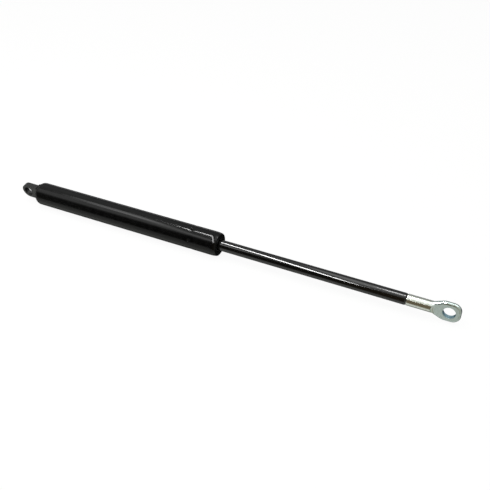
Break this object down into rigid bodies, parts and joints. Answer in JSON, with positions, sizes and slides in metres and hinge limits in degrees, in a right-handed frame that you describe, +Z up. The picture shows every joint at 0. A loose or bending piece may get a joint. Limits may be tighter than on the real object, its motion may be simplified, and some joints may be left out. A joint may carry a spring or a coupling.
{
  "type": "gas spring",
  "caption": "Gas spring with a black tube, a glossy black piston rod and a flat drilled eye at each end; the rod slides in against the gas and turns freely.",
  "frame": {"origin": "centre of the hole in the tube eye, at the closed end of the tube", "axes": "+X along the axis of the spring from the tube eye to the rod eye, +Z up with the spring lying on its tube, -Y out of the face of the rod eye that the picture shows"},
  "size_m": [0.4364, 0.022, 0.022],
  "materials": {
    "tube_paint": "satin black paint",
    "rod_coat": "glossy black nitrided coat",
    "zinc_plate": "bright zinc plate",
    "plain_steel": "plain pressed steel",
    "nitrile_rubber": "moulded rubber",
    "guide_plastic": "moulded",
    "ring_plastic": "moulded",
    "liner_bronze": "bronze with a bearing coat",
    "sintered_iron": "sintered"
  },
  "bodies": {
    "cylinder": {"pressure_tube": "tube_paint", "tube_eye": "tube_paint", "eye_weld": "tube_paint", "end_washer": "plain_steel", "wiper_seal": "nitrile_rubber", "outer_guide": "guide_plastic", "guide_liner": "liner_bronze", "guide_o_ring": "nitrile_rubber", "seal_support": "plain_steel", "main_seal": "nitrile_rubber", "seal_energiser": "nitrile_rubber", "pressure_washer": "plain_steel", "inner_guide": "guide_plastic"},
    "ring_carrier": {"piston_ring": "ring_plastic"},
    "rod": {"piston_rod": "rod_coat", "rebound_bumper": "nitrile_rubber", "front_piston_washer": "plain_steel", "piston": "sintered_iron", "metering_disc": "plain_steel", "rear_piston_washer": "plain_steel", "piston_nut": "plain_steel", "rod_eye": "zinc_plate"}
  },
  "joints": [
    {"name": "rod_slide", "type": "slide", "parent": "cylinder", "child": "ring_carrier", "axis": [-1, 0, 0], "range_m": [0, 0.16], "stiffness_N_per_m": 250, "springref_m": -0.4},
    {"name": "rod_turn", "type": "hinge", "parent": "ring_carrier", "child": "rod", "pos_m": [0, 0, 0], "axis": [1, 0, 0], "continuous": true}
  ]
}
